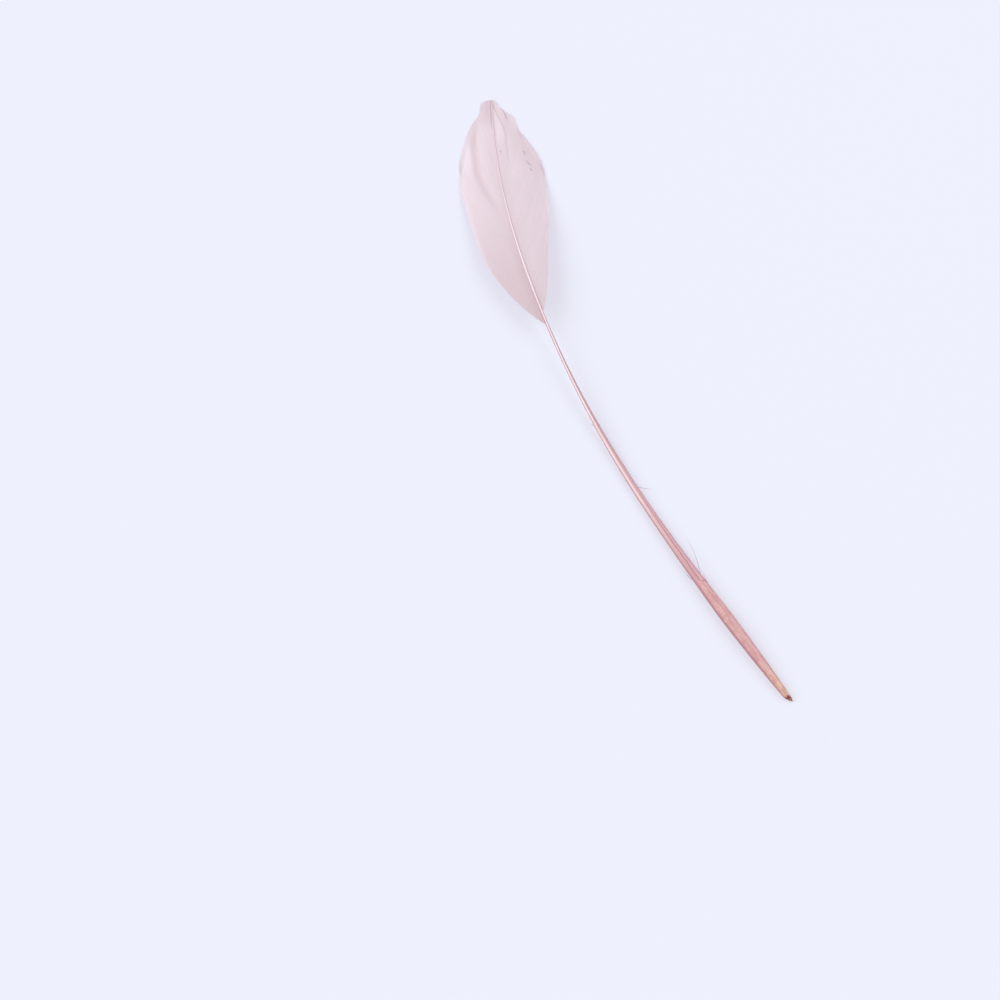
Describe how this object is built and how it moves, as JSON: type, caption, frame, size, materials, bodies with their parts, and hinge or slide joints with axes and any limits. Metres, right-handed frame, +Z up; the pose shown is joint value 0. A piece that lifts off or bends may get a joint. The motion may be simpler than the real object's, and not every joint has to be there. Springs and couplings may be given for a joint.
{
  "type": "goose quill feather",
  "caption": "Trimmed goose quill feather lying flat: bare tapering shaft, hollow quill end and a leaf-shaped web at the tip.",
  "frame": {"origin": "middle of the feather's footprint, on the surface it lies on", "axes": "+X from the quill's open end to the feather's tip, +Y to its left, +Z up out of its upper side"},
  "size_m": [0.1584, 0.0226, 0.0046],
  "materials": {
    "shaft": "satin",
    "vane": "matte"
  },
  "bodies": {
    "root": {"shaft": "shaft", "left_vane": "vane", "right_vane": "vane"}
  },
  "joints": []
}
